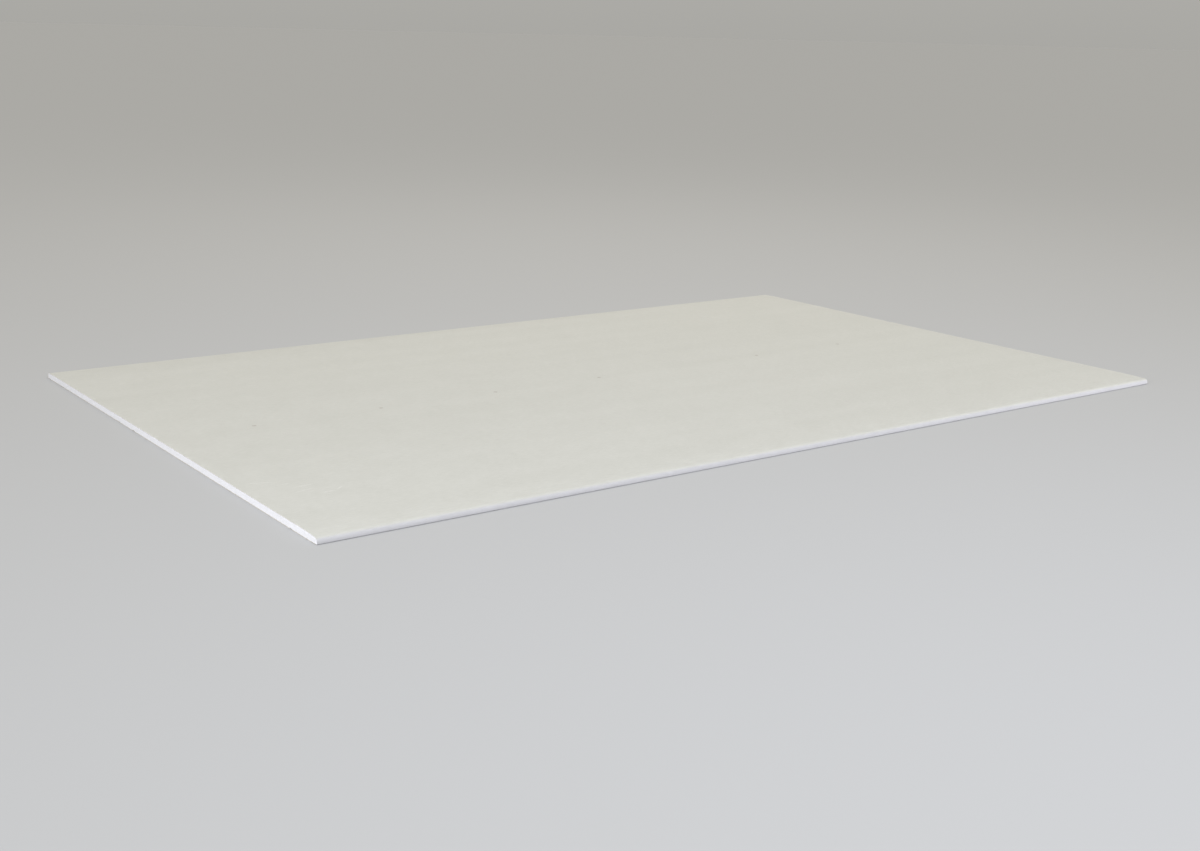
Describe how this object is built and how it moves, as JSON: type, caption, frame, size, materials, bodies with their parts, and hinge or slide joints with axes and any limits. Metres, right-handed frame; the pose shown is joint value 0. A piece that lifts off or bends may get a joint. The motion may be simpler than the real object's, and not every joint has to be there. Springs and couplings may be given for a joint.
{
  "type": "drywall sheet",
  "caption": "Flat rectangular gypsum board with paper-wrapped, half-round tapered long edges and square-cut ends, screwed to studs or battens to line walls and ceilings.",
  "frame": {"origin": "centre of the flat back, which lies on the floor", "axes": "+X along the length between the cut ends, +Y across the width between the formed long edges, +Z out of the face"},
  "size_m": [2, 1.25, 0.0125],
  "materials": {
    "face_paper": "matt warm light-grey paper over a white gypsum core"
  },
  "bodies": {
    "root": {"drywall_sheet": "face_paper"}
  },
  "joints": []
}
